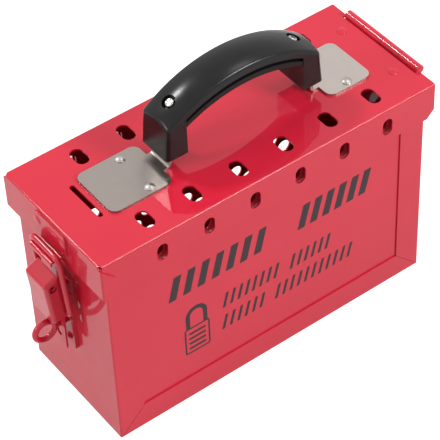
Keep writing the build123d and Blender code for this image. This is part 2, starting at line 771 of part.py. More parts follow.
with BuildPart() as latch_base:
    with BuildSketch(Plane.XZ):
        Polygon(
            (-body_end, base_foot), (flange_face, base_foot), (flange_face, ear_low[1]),
            (web_face, ear_low[1] + base_flange), (web_face, base_head), (-body_end, base_head),
            align=None,
        )
        Polygon(ear_low, tangent_point(ear_low, -1), tangent_point(ear_high, 1), ear_high, align=None)
        with Locations((pivot_x, pivot_height)):
            Circle(ear_radius)
    extrude(amount=base_side, both=True)
    symmetric_block((pivot_x - 2 * ear_radius, web_face), base_side - latch_sheet, (base_foot - 1, lid_top), Mode.SUBTRACT)
    with Locations(Plane(origin=(pivot_x, 0, pivot_height), z_dir=(0, 1, 0))):
        Cylinder(pivot_pin_diameter / 2, base_width + 2, mode=Mode.SUBTRACT)
    with BuildSketch(Plane.YZ.offset(-body_end + 1)):
        with Locations(*[(0, z) for z in base_rivet_heights]):
            Circle(rivet_shank / 2)
        with Locations((0, eye_height)):
            Circle(eye_spigot / 2)
    extrude(amount=-latch_sheet - 2, mode=Mode.SUBTRACT)
latch_base.part.label = "latch_base"

with BuildPart() as latch_base_rivet:
    rivet_profile(
        base_rivet_head, plate_rivet_height, rivet_shank, body_sheet + latch_sheet, rivet_tail, rivet_tail_height
    )

with BuildPart() as latch_base_rivets:
    for z in base_rivet_heights:
        with Locations(Plane(origin=(web_face, 0, z), z_dir=(-1, 0, 0))):
            add(latch_base_rivet.part)
latch_base_rivets.part.label = "latch_base_rivets"

# Padlock eye: a round-bar ring on a neck, riveted through the base and the wall
ring_radius = (eye_hole + eye_wire) / 2
ring_x = -body_end - eye_reach + ring_radius + eye_wire / 2
with BuildPart() as padlock_eye:
    with Locations(Plane(origin=(ring_x, 0, eye_height), z_dir=(0, 1, 0))):
        Torus(ring_radius, eye_wire / 2)
    neck_start = ring_x + ring_radius
    with Locations(Plane(origin=(neck_start, 0, eye_height), z_dir=(1, 0, 0))):
        Cylinder(eye_wire / 2, web_face - neck_start, align=(Align.CENTER, Align.CENTER, Align.MIN))
    with Locations(Plane(origin=(web_face, 0, eye_height), z_dir=(1, 0, 0))):
        Cylinder(eye_spigot / 2, latch_sheet + body_sheet, align=(Align.CENTER, Align.CENTER, Align.MIN))
    with Locations(Plane(origin=(-body_end + body_sheet, 0, eye_height), z_dir=(1, 0, 0))):
        Cylinder(rivet_tail / 2, rivet_tail_height, align=(Align.CENTER, Align.CENTER, Align.MIN))
padlock_eye.part.label = "padlock_eye"

# Lever: a folded hood over the base, with a slotted hasp that closes over the eye's neck
lever_side = lever_width / 2
lever_inner = lever_side - latch_sheet
ridge = (pivot_x - lever_ridge_depth, pivot_height + lever_ridge_rise)
hood_lip = (ridge[0] + lever_top_depth, ridge[1] + lever_top_rise)
tail_out = (pivot_x - lever_tail_depth, lever_tail_height)
side_edge = pivot_x + lever_side_reach
hasp_inner = -body_end - hasp_stand_off
hasp_outer = hasp_inner - latch_sheet
face_run = math.hypot(tail_out[0] - ridge[0], tail_out[1] - ridge[1])
top_run = math.hypot(lever_top_depth, lever_top_rise)
face_shift = latch_sheet * face_run / abs(tail_out[1] - ridge[1])
top_shift = latch_sheet * top_run / lever_top_depth
face_slope = (tail_out[0] - ridge[0]) / (tail_out[1] - ridge[1])
top_slope = lever_top_rise / lever_top_depth
with BuildPart() as latch_lever:
    with BuildSketch(Plane.XZ):
        Polygon(
            hood_lip,
            ridge,
            tail_out,
            (side_edge, lever_tail_height + lever_tail_corner),
            (side_edge, bail_pivot_height + 2 * bail_wire),
            (side_edge - lever_tail_corner, pivot_height - 3 * lever_bend),
            align=None,
        )
    extrude(amount=lever_side, both=True)
    # Rounded folds round the face and the top
    hood_edges = latch_lever.edges()
    ridge_edges = [
        edge
        for edge in hood_edges
        if abs(edge.center().X - ridge[0]) < 0.01 and abs(edge.center().Z - ridge[1]) < 0.01
    ]
    face_edges = [
        edge
        for edge in hood_edges
        if abs(edge.center().X - (ridge[0] + tail_out[0]) / 2) < 0.01 and abs(edge.center().Y) > lever_inner
    ]
    top_edges = [
        edge
        for edge in hood_edges
        if abs(edge.center().X - (ridge[0] + hood_lip[0]) / 2) < 0.01 and abs(edge.center().Y) > lever_inner
    ]
    fillet(ridge_edges + face_edges + top_edges, lever_bend)
    # Hollow of the hood, open towards the wall and at the foot
    inner_x = ridge[0] + face_shift
    inner_top = ridge[1] - top_shift + top_slope * face_shift
    low_z = lever_tail_height - 1
    with BuildSketch(Plane.XZ):
        Polygon(
            (inner_x, inner_top),
            (inner_x + face_slope * (low_z - inner_top), low_z),
            (-body_end, low_z),
            (-body_end, inner_top + top_slope * (-body_end - inner_x)),
            align=None,
        )
    extrude(amount=lever_inner, both=True, mode=Mode.SUBTRACT)
    # Bores in the sides for the pivot rivet and the bail's ends
    with Locations(Plane(origin=(pivot_x, 0, pivot_height), z_dir=(0, 1, 0))):
        Cylinder(pivot_flare_diameter / 2 + pivot_clearance, lever_width + 2, mode=Mode.SUBTRACT)
    with Locations(Plane(origin=(bail_pivot_x, 0, bail_pivot_height), z_dir=(0, 1, 0))):
        Cylinder(bail_wire / 2 + bail_clearance, lever_width + 2, mode=Mode.SUBTRACT)
    # Hasp: a bridge between the hood's sides, and a tongue down from it over the eye
    symmetric_block((hasp_outer, hasp_inner), lever_inner, (hasp_head - hasp_head_height, hasp_head))
    with BuildSketch(Plane.YZ.offset(hasp_outer)) as hasp:
        with Locations((0, (hasp_foot + hasp_head) / 2)):
            Rectangle(2 * hasp_half_width, hasp_head - hasp_foot)
        fillet(hasp.vertices().group_by(Axis.Y)[0], hasp_corner)
        with Locations((0, eye_height)):
            SlotOverall(hasp_slot_length, hasp_slot_width, rotation=90, mode=Mode.SUBTRACT)
    extrude(amount=latch_sheet)
latch_lever.part.label = "latch_lever"

# Hollow pivot rivet, flared at both ends
pin_radius = pivot_pin_diameter / 2
flare_radius = pivot_flare_diameter / 2
flare_start = lever_side - pivot_flare_length
cone_length = flare_radius - pin_radius
with BuildPart() as lever_pivot_pin:
    with BuildSketch(Plane((pivot_x, 0, pivot_height))):
        with BuildLine():
            Polyline(
                (pin_radius, 0), (pin_radius, flare_start - cone_length), (flare_radius, flare_start),
                (flare_radius, lever_side), (flare_radius - pivot_pin_wall, lever_side),
                (flare_radius - pivot_pin_wall, flare_start), (pin_radius - pivot_pin_wall, flare_start - cone_length),
                (pin_radius - pivot_pin_wall, 0), close=True,
            )
        make_face()
        mirror(about=Plane.XZ)
    revolve(axis=Axis((pivot_x, 0, pivot_height), (0, 1, 0)))
lever_pivot_pin.part.label = "lever_pivot_pin"

# Bail: one bent wire with its ends turned in through the lever's sides
bail_reach = math.hypot(crossbar_x - bail_pivot_x, crossbar_z - bail_pivot_height)
bail_up = ((crossbar_x - bail_pivot_x) / bail_reach, 0, (crossbar_z - bail_pivot_height) / bail_reach)
bail_plane = Plane(
    origin=(bail_pivot_x, 0, bail_pivot_height),
    x_dir=(0, 1, 0),
    z_dir=(bail_up[2], 0, -bail_up[0]),
)
bail_end = base_side + bail_end_gap
with BuildPart() as latch_bail:
    with BuildLine(bail_plane) as bail_route:
        FilletPolyline(
            (bail_end, 0),
            (bail_width / 2, 0),
            (bail_width / 2, bail_reach),
            (-bail_width / 2, bail_reach),
            (-bail_width / 2, 0),
            (-bail_end, 0),
            radius=(bail_bend * 0.7, bail_bend, bail_bend, bail_bend * 0.7),
        )
    with BuildSketch(Plane(origin=bail_route.line @ 0, z_dir=bail_route.line % 0)):
        Circle(bail_wire / 2)
    sweep()
latch_bail.part.label = "latch_bail"

# Keeper on the lid: a riveted plate with a folded ledge that the bail's crossbar pulls on
with BuildPart() as latch_keeper:
    plate_x = -lid_end - keeper_sheet / 2
    lip_x = -lid_end - ledge_reach
    shelf_z = ledge_top - keeper_sheet / 2
    with BuildSketch(Plane.XZ):
        with BuildLine():
            FilletPolyline(
                (plate_x, keeper_top),
                (plate_x, shelf_z),
                (lip_x, shelf_z),
                (lip_x, shelf_z - ledge_lip_drop),
                radius=(keeper_bend, lip_bend),
            )
        trace(line_width=keeper_sheet)
    extrude(amount=ledge_width / 2, both=True)
    with BuildSketch(Plane.YZ.offset(-lid_end)):
        with Locations((0, (keeper_top + ledge_top + 2 * keeper_bend + keeper_sheet) / 2)):
            RectangleRounded(keeper_width, keeper_top - ledge_top - 2 * keeper_bend - keeper_sheet, keeper_corner)
    extrude(amount=-keeper_sheet)
    with BuildSketch(Plane.YZ.offset(-lid_end + 1)):
        with Locations(*[(side * keeper_rivet_spacing / 2, keeper_rivet_height) for side in (-1, 1)]):
            Circle(rivet_shank / 2)
    extrude(amount=-keeper_sheet - 2, mode=Mode.SUBTRACT)
latch_keeper.part.label = "latch_keeper"

with BuildPart() as keeper_rivet:
    rivet_profile(
        plate_rivet_head, hinge_rivet_height, rivet_shank, keeper_sheet + lid_sheet, rivet_tail, rivet_tail_height
    )

with BuildPart() as keeper_rivets:
    for side in (-1, 1):
        spot = (keeper_face, side * keeper_rivet_spacing / 2, keeper_rivet_height)
        with Locations(Plane(origin=spot, z_dir=(-1, 0, 0))):
            add(keeper_rivet.part)
keeper_rivets.part.label = "keeper_rivets"

finished = [
    body_shell, front_panel, rear_panel, lid_shell, hinge_leaf_body, hinge_leaf_lid, hinge_pin,
    hinge_rivets_lid, hinge_rivets_body, handle_grip, handle_insert, handle_bracket_left,
    handle_bracket_right, handle_rivets_left, handle_rivets_right, handle_screw_left,
    handle_screw_right, latch_base, latch_base_rivets, padlock_eye, latch_lever, lever_pivot_pin,
    latch_bail, latch_keeper, keeper_rivets,
]
for piece in finished:
    export_step(piece.part, f"parts/{piece.part.label}.step")

print("lever pivot", pivot_x, pivot_height)
print("bail pivot", bail_pivot_x, bail_pivot_height)
print("lid hinge", hinge_x, hinge_z)
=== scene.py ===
"""Group lockout box: finishes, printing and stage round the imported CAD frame, laid out as an add-on."""

import math

import bmesh
import bpy
from mathutils import Matrix, Vector


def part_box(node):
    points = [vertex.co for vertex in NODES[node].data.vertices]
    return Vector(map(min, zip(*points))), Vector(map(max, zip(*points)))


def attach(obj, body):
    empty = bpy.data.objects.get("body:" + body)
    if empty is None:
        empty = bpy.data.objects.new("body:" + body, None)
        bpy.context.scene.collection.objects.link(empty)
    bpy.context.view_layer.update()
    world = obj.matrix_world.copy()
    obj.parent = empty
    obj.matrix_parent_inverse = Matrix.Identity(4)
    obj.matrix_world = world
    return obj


bl_info = {
    "name": "Group lockout box",
    "version": (1, 0, 0),
    "blender": (4, 5, 0),
    "location": "3D View > Sidebar > Lockout box",
    "description": "Finishes, printing, grip and stage of a sheet steel group lockout box",
    "category": "Object",
}

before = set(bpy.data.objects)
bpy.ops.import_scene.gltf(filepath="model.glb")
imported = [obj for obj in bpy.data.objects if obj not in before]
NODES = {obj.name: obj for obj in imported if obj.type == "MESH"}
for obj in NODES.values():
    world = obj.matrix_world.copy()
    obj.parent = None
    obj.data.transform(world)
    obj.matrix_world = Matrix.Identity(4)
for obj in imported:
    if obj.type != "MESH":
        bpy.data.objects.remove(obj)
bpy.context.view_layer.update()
MM = 0.001
WHITE = (1.0, 1.0, 1.0, 1.0)

# Enamelled pieces, by what they belong to
BODY_PIECES = [
    "body_shell",
    "front_panel",
    "rear_panel",
    "hinge_leaf_body",
    "hinge_rivets_body",
    "hinge_pin",
]
LID_PIECES = ["lid_shell", "hinge_leaf_lid", "hinge_rivets_lid", "latch_keeper", "keeper_rivets"]
LATCH_PIECES = [
    "latch_base",
    "latch_base_rivets",
    "padlock_eye",
    "latch_lever",
    "lever_pivot_pin",
    "latch_bail",
]

# Rows of printed strokes: left end, right end and foot, in millimetres
HEAVY_ROWS = {
    "printed_heavy_row_left": (-71.5, -3.0, 86.0),
    "printed_heavy_row_right": (18.5, 72.5, 86.0),
}
LIGHT_ROWS = {
    "printed_upper_row_left": (-35.5, 5.5, 58.0),
    "printed_upper_row_right": (12.5, 43.0, 58.0),
    "printed_lower_row_left": (-36.5, -5.0, 40.5),
    "printed_lower_row_right": (1.5, 59.5, 40.5),
}

# Round soft lamps: place and diameter in metres, power in watts; all are aimed at the middle of the box
LAMPS = {
    "soft_front_right": ((0.8, -1.4, 1.15), 0.7, 24.0),
    "soft_left": ((-1.6, 0.35, 0.95), 0.6, 9.0),
    "soft_top": ((0.85, -0.05, 2.0), 0.8, 6.0),
    "small_rear": ((-0.42, 0.9, 1.3), 0.22, 7.5),
}
LAMP_TARGET = Vector((0, 0, 0.08))

# Camera, in millimetres
CAMERA_PLACE = Vector((-483.0, -683.1, 912.5))
CAMERA_TARGET = Vector((0.0, 7.19, 67.57))

# Sockets of the Mix node when it mixes colours
MIX_FACTOR = 0
MIX_FIRST = 6
MIX_SECOND = 7
MIX_RESULT = 2


def linear(hex_colour):
    """An sRGB hex colour as linear red, green and blue."""
    parts = [int(hex_colour[i : i + 2], 16) / 255 for i in (1, 3, 5)]
    return tuple(c / 12.92 if c <= 0.04045 else ((c + 0.055) / 1.055) ** 2.4 for c in parts)


def rgba(colour, share=1.0):
    """A linear colour as a socket takes it, darkened or lightened by a share."""
    return (colour[0] * share, colour[1] * share, colour[2] * share, 1.0)


def per_metre(millimetres):
    """Scale of a pattern whose forms are this far apart."""
    return 1000 / millimetres


def colour_property(name, description, hex_colour):
    """A colour that the panel shows, with a default in sRGB hex."""
    return bpy.props.FloatVectorProperty(
        name=name, description=description, subtype="COLOR", size=3, min=0, max=1, default=linear(hex_colour)
    )


def length_property(name, description, millimetres):
    """A length that the panel shows, with a default in millimetres."""
    return bpy.props.FloatProperty(
        name=name, description=description, subtype="DISTANCE", unit="LENGTH", min=0, default=millimetres * MM
    )


def strength_property(name, description, strength):
    """A strength of light that the panel shows, where 1 is white."""
    return bpy.props.FloatProperty(name=name, description=description, min=0, default=strength)


class LOCKOUT_PG_finishes(bpy.types.PropertyGroup):
    """Colours of the box's finishes."""

    enamel: colour_property("Enamel", "Gloss red stoving enamel on the sheet steel", "#d4213a")
    enamel_deep: colour_property("Enamel, deep", "The same enamel where it lies thicker", "#c81c34")
    dust: colour_property("Dust", "Specks of dust caught in the enamel", "#8f1424")
    ink: colour_property("Ink", "Screen-printed marks on the front panel", "#2a2326")
    ink_thin: colour_property("Ink, thin", "The same ink where the red shows through", "#3b2c31")
    # The two plates are one stainless sheet: the left colour is darkened as painted shade and the right one
    # lightened as painted light, standing in for the dimmer and brighter reflections the plates show
    stainless_left_painted_shade: colour_property("Stainless, left", "Mill-finished sheet of the left plate", "#aea39d")
    stainless_right_painted_light: colour_property("Stainless, right", "Less handled sheet of the right plate", "#cdc2bb")
    rivet: colour_property("Rivet", "Heads of the blind rivets in the plates", "#b9b3ae")
    zinc: colour_property("Zinc", "Bright zinc plating of the grip's screws", "#c9c8c4")
    nylon: colour_property("Nylon", "Black moulded nylon of the grip", "#100f10")
    nylon_insert: colour_property("Nylon insert", "Matt black underside of the grip", "#100f10")


class LOCKOUT_PG_printing(bpy.types.PropertyGroup):
    """Sizes of the printed marks on the front panel."""

    ink_thickness: length_property("Ink thickness", "How far the ink stands on the paint", 0.05)
    heavy_height: length_property("Heavy row", "Height of the heavy printed strokes", 17.5)
    heavy_stroke: length_property("Heavy stroke", "Width of one heavy stroke", 5.2)
    heavy_pitch: length_property("Heavy pitch", "Distance from one heavy stroke to the next", 9.6)
    light_height: length_property("Light row", "Height of the light printed strokes", 11.0)
    light_stroke: length_property("Light stroke", "Width of one light stroke", 2.0)
    light_pitch: length_property("Light pitch", "Distance from one light stroke to the next", 5.4)
    stroke_lean: bpy.props.FloatProperty(
        name="Lean",
        description="How far a stroke's head leans past its foot, as a share of its height",
        min=0,
        default=0.26,
    )
    stroke_corner: length_property("Corner", "Radius of the strokes' corners", 0.5)
    padlock_middle: bpy.props.FloatProperty(
        name="Padlock place",
        description="Middle of the padlock along the box",
        subtype="DISTANCE",
        unit="LENGTH",
        default=-53.6 * MM,
    )
    padlock_foot: length_property("Padlock foot", "Height of the padlock's lower edge", 36.0)
    padlock_width: length_property("Padlock width", "Width of the printed padlock's body", 17.5)
    padlock_height: length_property("Padlock height", "Height of the printed padlock's body", 21.0)
    padlock_border: length_property("Padlock border", "Width of the line round the padlock's body", 1.1)
    padlock_corner: length_property("Padlock corner", "Radius of the padlock's corners", 1.65)
    shackle_radius: length_property("Shackle radius", "Radius of the bow, at its middle line", 6.0)
    shackle_leg: length_property("Shackle leg", "Length of the shackle's straight legs", 8.5)
    shackle_bar: length_property("Shackle bar", "Width of the shackle's bar", 2.9)
    line_length: length_property("Line length", "Length of the lines in the padlock's body", 11.55)
    line_height: length_property("Line height", "Height of one line", 1.65)
    line_pitch: length_property("Line pitch", "Distance from one line to the next", 3.96)
    line_drop: length_property("Line drop", "From the body's top to the first line", 4.2)
    line_corner: length_property("Line corner", "Radius of the lines' corners", 0.55)


class LOCKOUT_PG_stage(bpy.types.PropertyGroup):
    """Camera, world and floor."""

    lens: bpy.props.FloatProperty(
        name="Lens", description="Focal length of the camera on a 36 mm frame", default=167.68, min=1
    )
    roll: bpy.props.FloatProperty(
        name="Roll", description="Turn of the camera about its line of sight", subtype="ANGLE", default=0.047
    )
    world_strength: strength_property("World", "Plain white light from all round", 0.46)
    floor_colour: colour_property("Floor", "Pale matt floor", "#c8c8c8")
    floor_glow: strength_property("Floor glow", "Added where the camera sees the floor", 0.78)
    mirror_glow: strength_property("Mirrored floor glow", "Added where a gloss mirrors the floor", 0.3)


# Nodes and finishes


def add_node(tree, kind, settings=None, links=None):
    """Adds a node, sets its properties or input values, and links its inputs to other sockets."""
    node = tree.nodes.new(kind)
    for key, value in (settings or {}).items():
        if isinstance(key, str) and hasattr(node, key):
            setattr(node, key, value)
        else:
            node.inputs[key].default_value = value
    for key, socket in (links or {}).items():
        tree.links.new(socket, node.inputs[key])
    return node


def new_finish(name):
    """An empty material with its output, its node tree and Object coordinates."""
    material = bpy.data.materials.new(name)
    material.use_nodes = True
    tree = material.node_tree
    tree.nodes.clear()
    output = add_node(tree, "ShaderNodeOutputMaterial")
    place = add_node(tree, "ShaderNodeTexCoord").outputs["Object"]
    return material, tree, output, place


def stoving_enamel(name, finishes):
    """Gloss stoving enamel on sheet steel: a clear, mirror-like skin over a red body colour.

    The sheet's slight waves bend the mirror images. The colour under the skin has a fine orange
    peel, specks of dust and rubbed patches.
    """
    material, tree, output, place = new_finish(name)
    # Thicker and thinner enamel, in clouds of about 60 mm
    cloud = add_node(
        tree,
        "ShaderNodeTexNoise",
        {"Scale": per_metre(62.5), "Detail": 2.0, "Roughness": 0.5},
        {"Vector": place},
    )
    tone = add_node(
        tree,
        "ShaderNodeMix",
        {"data_type": "RGBA", MIX_FIRST: rgba(finishes.enamel), MIX_SECOND: rgba(finishes.enamel_deep)},
        {MIX_FACTOR: cloud.outputs["Fac"]},
    )
    # Specks of dust in the enamel, really 0.2 mm across and drawn on a 1.1 mm pattern so that they show
    dust = add_node(
        tree, "ShaderNodeTexNoise", {"Scale": per_metre(1.1111), "Detail": 1.0}, {"Vector": place}
    )
    dust_mask = add_node(
        tree,
        "ShaderNodeMapRange",
        {"From Min": 0.72, "From Max": 0.78, "To Max": 0.35},
        {"Value": dust.outputs["Fac"]},
    )
    dusted = add_node(
        tree,
        "ShaderNodeMix",
        {"data_type": "RGBA", MIX_SECOND: rgba(finishes.dust)},
        {MIX_FACTOR: dust_mask.outputs["Result"], MIX_FIRST: tone.outputs[MIX_RESULT]},
    )
    # Rubbed patches of about 20 mm change the gloss a little
    rub = add_node(
        tree,
        "ShaderNodeTexNoise",
        {"Scale": per_metre(22.222), "Detail": 4.0, "Roughness": 0.6},
        {"Vector": place},
    )
    gloss = add_node(
        tree,
        "ShaderNodeMapRange",
        {"From Min": 0.35, "From Max": 0.7, "To Min": 0.34, "To Max": 0.44},
        {"Value": rub.outputs["Fac"]},
    )
    # Waves of the sheet, about 70 mm long, and orange peel of about 2.4 mm
    waves = add_node(
        tree, "ShaderNodeTexNoise", {"Scale": per_metre(71.429), "Detail": 1.0}, {"Vector": place}
    )
    peel = add_node(tree, "ShaderNodeTexNoise", {"Scale": per_metre(2.381), "Detail": 2.0}, {"Vector": place})
    wave_bump = add_node(
        tree, "ShaderNodeBump", {"Strength": 0.35, "Distance": 0.9 * MM}, {"Height": waves.outputs["Fac"]}
    )
    peel_bump = add_node(
        tree,
        "ShaderNodeBump",
        {"Strength": 0.05, "Distance": 0.2 * MM},
        {"Height": peel.outputs["Fac"], "Normal": wave_bump.outputs["Normal"]},
    )
    # The gloss is the coat's: the colour below it has hardly any sheen of its own
    shader = add_node(
        tree,
        "ShaderNodeBsdfPrincipled",
        {"IOR": 1.5, "Specular IOR Level": 0.1, "Coat Weight": 0.8, "Coat Roughness": 0.03, "Coat IOR": 1.45},
        {
            "Base Color": dusted.outputs[MIX_RESULT],
            "Roughness": gloss.outputs["Result"],
            "Normal": peel_bump.outputs["Normal"],
            "Coat Normal": wave_bump.outputs["Normal"],
        },
    )
    tree.links.new(shader.outputs["BSDF"], output.inputs["Surface"])
    return material


def mill_stainless(name, colour):
    """Cold-rolled stainless sheet with a dull mill finish: a soft, faintly streaked sheen with smears."""
    material, tree, output, place = new_finish(name)
    # Rolling streaks run along Y, 0.7 mm apart and 25 mm long
    streak_map = add_node(
        tree,
        "ShaderNodeMapping",
        {"Scale": (per_metre(0.66667), per_metre(25), per_metre(0.66667))},
        {"Vector": place},
    )
    streaks = add_node(
        tree, "ShaderNodeTexNoise", {"Scale": 1.0, "Detail": 3.0}, {"Vector": streak_map.outputs["Vector"]}
    )
    # Smears of handling, about 14 mm wide
    smears = add_node(
        tree,
        "ShaderNodeTexNoise",
        {"Scale": per_metre(14.286), "Detail": 5.0, "Roughness": 0.6},
        {"Vector": place},
    )
    tone = add_node(
        tree,
        "ShaderNodeMix",
        {"data_type": "RGBA", MIX_FIRST: rgba(colour), MIX_SECOND: rgba(colour, 0.72)},
        {MIX_FACTOR: smears.outputs["Fac"]},
    )
    gloss = add_node(
        tree,
        "ShaderNodeMapRange",
        {"From Min": 0.3, "From Max": 0.7, "To Min": 0.26, "To Max": 0.4},
        {"Value": smears.outputs["Fac"]},
    )
    bump = add_node(
        tree, "ShaderNodeBump", {"Strength": 0.12, "Distance": 0.05 * MM}, {"Height": streaks.outputs["Fac"]}
    )
    shader = add_node(
        tree,
        "ShaderNodeBsdfPrincipled",
        {"Metallic": 1.0},
        {
            "Base Color": tone.outputs[MIX_RESULT],
            "Roughness": gloss.outputs["Result"],
            "Normal": bump.outputs["Normal"],
        },
    )
    tree.links.new(shader.outputs["BSDF"], output.inputs["Surface"])
    return material


def plated_steel(name, colour, roughness, grain):
    """Small plated steel pieces: bright, with darker pits that lie one grain, in millimetres, apart."""
    material, tree, output, place = new_finish(name)
    pits = add_node(
        tree,
        "ShaderNodeTexNoise",
        {"Scale": per_metre(grain), "Detail": 4.0, "Roughness": 0.65},
        {"Vector": place},
    )
    tone = add_node(
        tree,
        "ShaderNodeMix",
        {"data_type": "RGBA", MIX_FIRST: rgba(colour, 0.75), MIX_SECOND: rgba(colour)},
        {MIX_FACTOR: pits.outputs["Fac"]},
    )
    gloss = add_node(
        tree,
        "ShaderNodeMapRange",
        {"From Min": 0.3, "From Max": 0.7, "To Min": roughness - 0.06, "To Max": roughness + 0.08},
        {"Value": pits.outputs["Fac"]},
    )
    bump = add_node(
        tree, "ShaderNodeBump", {"Strength": 0.15, "Distance": 0.05 * MM}, {"Height": pits.outputs["Fac"]}
    )
    shader = add_node(
        tree,
        "ShaderNodeBsdfPrincipled",
        {"Metallic": 1.0},
        {
            "Base Color": tone.outputs[MIX_RESULT],
            "Roughness": gloss.outputs["Result"],
            "Normal": bump.outputs["Normal"],
        },
    )
    tree.links.new(shader.outputs["BSDF"], output.inputs["Surface"])
    return material


def moulded_nylon(name, colour, smoothest, roughest):
    """Injection-moulded black nylon: half gloss, with a very fine eroded texture and handling marks."""
    material, tree, output, place = new_finish(name)
    # Handling marks of about 17 mm
    marks = add_node(
        tree,
        "ShaderNodeTexNoise",
        {"Scale": per_metre(16.667), "Detail": 5.0, "Roughness": 0.65},
        {"Vector": place},
    )
    tone = add_node(
        tree,
        "ShaderNodeMix",
        {"data_type": "RGBA", MIX_FIRST: rgba(colour), MIX_SECOND: rgba(colour, 1.5)},
        {MIX_FACTOR: marks.outputs["Fac"]},
    )
    gloss = add_node(
        tree,
        "ShaderNodeMapRange",
        {"From Min": 0.3, "From Max": 0.7, "To Min": smoothest, "To Max": roughest},
        {"Value": marks.outputs["Fac"]},
    )
    # Eroded texture of the mould, drawn at 0.45 mm, coarser than the real 0.1 mm, so that it shows
    texture = add_node(
        tree, "ShaderNodeTexNoise", {"Scale": per_metre(0.45455), "Detail": 2.0}, {"Vector": place}
    )
    bump = add_node(
        tree, "ShaderNodeBump", {"Strength": 0.1, "Distance": 0.05 * MM}, {"Height": texture.outputs["Fac"]}
    )
    shader = add_node(
        tree,
        "ShaderNodeBsdfPrincipled",
        {"IOR": 1.53, "Specular IOR Level": 0.26},
        {
            "Base Color": tone.outputs[MIX_RESULT],
            "Roughness": gloss.outputs["Result"],
            "Normal": bump.outputs["Normal"],
        },
    )
    tree.links.new(shader.outputs["BSDF"], output.inputs["Surface"])
    return material


def screen_ink(name, finishes):
    """Screen-printing ink: flat and slightly greyed, thinner in a fine mottle of about 3 mm."""
    material, tree, output, place = new_finish(name)
    mottle = add_node(
        tree,
        "ShaderNodeTexNoise",
        {"Scale": per_metre(2.8571), "Detail": 4.0, "Roughness": 0.7},
        {"Vector": place},
    )
    tone = add_node(
        tree,
        "ShaderNodeMix",
        {"data_type": "RGBA", MIX_FIRST: rgba(finishes.ink), MIX_SECOND: rgba(finishes.ink_thin)},
        {MIX_FACTOR: mottle.outputs["Fac"]},
    )
    bump = add_node(
        tree, "ShaderNodeBump", {"Strength": 0.1, "Distance": 0.03 * MM}, {"Height": mottle.outputs["Fac"]}
    )
    shader = add_node(
        tree,
        "ShaderNodeBsdfPrincipled",
        {"Roughness": 0.5, "Specular IOR Level": 0.3},
        {"Base Color": tone.outputs[MIX_RESULT], "Normal": bump.outputs["Normal"]},
    )
    tree.links.new(shader.outputs["BSDF"], output.inputs["Surface"])
    return material


def give_finish(material, names):
    """Puts a material on CAD nodes, in all their slots."""
    for name in names:
        for slot in NODES[name].material_slots:
            slot.material = material


# Modelling helpers


def deselect():
    """Leaves nothing selected, so that an operator acts on the new piece alone."""
    if bpy.context.object and bpy.context.object.mode != "OBJECT":
        bpy.ops.object.mode_set(mode="OBJECT")
    bpy.ops.object.select_all(action="DESELECT")


def place_in_mesh(piece):
    """Puts the piece's place into its mesh, so that the object sits at the origin."""
    deselect()
    piece.select_set(True)
    bpy.context.view_layer.objects.active = piece
    bpy.ops.object.transform_apply(location=True, rotation=True, scale=True)


def unselected_mesh(piece, kind):
    """The piece's edit mesh with nothing selected, ready to select faces or edges."""
    bpy.ops.mesh.select_mode(type=kind)
    mesh = bmesh.from_edit_mesh(piece.data)
    for part in (mesh.verts, mesh.edges, mesh.faces):
        for element in part:
            element.select = False
    return mesh


def select_faces(piece, test):
    """Selects the faces of the piece in edit mode whose middle and normal pass the test."""
    mesh = unselected_mesh(piece, "FACE")
    for face in mesh.faces:
        if test(face.calc_center_median(), face.normal):
            face.select_set(True)
    bmesh.update_edit_mesh(piece.data)


def select_edges(piece, test):
    """Selects the edges of the piece in edit mode whose direction passes the test."""
    mesh = unselected_mesh(piece, "EDGE")
    for edge in mesh.edges:
        start, end = (vertex.co for vertex in edge.verts)
        if test((end - start).normalized()):
            edge.select_set(True)
    bmesh.update_edit_mesh(piece.data)


def ink_block(name, sizes, left, right, foot, head):
    """A block of ink on the front panel between two X and two Z values, left open in edit mode."""
    face_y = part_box("front_panel")[0].y
    deselect()
    bpy.ops.mesh.primitive_cube_add(
        size=1,
        location=((left + right) / 2, face_y - sizes.ink_thickness / 2, (foot + head) / 2),
        scale=(right - left, sizes.ink_thickness, head - foot),
    )
    block = bpy.context.object
    block.name = name
    place_in_mesh(block)
    bpy.ops.object.mode_set(mode="EDIT")
    return block


def round_corners(block, radius):
    """Rounds the block's corners, which are its edges along Y."""
    select_edges(block, lambda direction: abs(direction.y) > 0.9)
    bpy.ops.mesh.bevel(offset=radius, segments=4, affect="EDGES", clamp_overlap=True)


def face_outwards():
    """Turns all faces of the piece in edit mode outwards and leaves edit mode."""
    bpy.ops.mesh.select_all(action="SELECT")
    bpy.ops.mesh.normals_make_consistent(inside=False)
    bpy.ops.object.mode_set(mode="OBJECT")


def repeat(piece, count, step):
    """Repeats the piece in its own mesh, one step apart."""
    bpy.ops.object.mode_set(mode="OBJECT")
    row = piece.modifiers.new("row", "ARRAY")
    row.use_relative_offset = False
    row.use_constant_offset = True
    row.constant_offset_displace = step
    row.count = count
    bpy.ops.object.modifier_apply(modifier=row.name)


def print_in_ink(pieces):
    """Gives printed pieces the ink and lets them ride on the body's front panel."""
    ink = bpy.data.materials.get("screen_ink")
    if ink is None:
        ink = screen_ink("screen_ink", bpy.context.scene.lockout_finishes)
    for piece in pieces:
        piece.data.materials.append(ink)
        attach(piece, "body")


# Printed pieces


def printed_strokes(name, sizes, ends, height, width, pitch):
    """A row of leaning strokes, about one pitch apart: one stroke, repeated along X."""
    left, right, foot = (value * MM for value in ends)
    lean = sizes.stroke_lean * height
    travel = right - left - lean - width
    gaps = round(travel / pitch)
    stroke = ink_block(name, sizes, left, left + width, foot, foot + height)
    select_faces(stroke, lambda middle, normal: normal.z > 0.9)
    bpy.ops.transform.translate(value=(lean, 0, 0))
    round_corners(stroke, sizes.stroke_corner)
    repeat(stroke, gaps + 1, (travel / gaps, 0, 0))
    return stroke


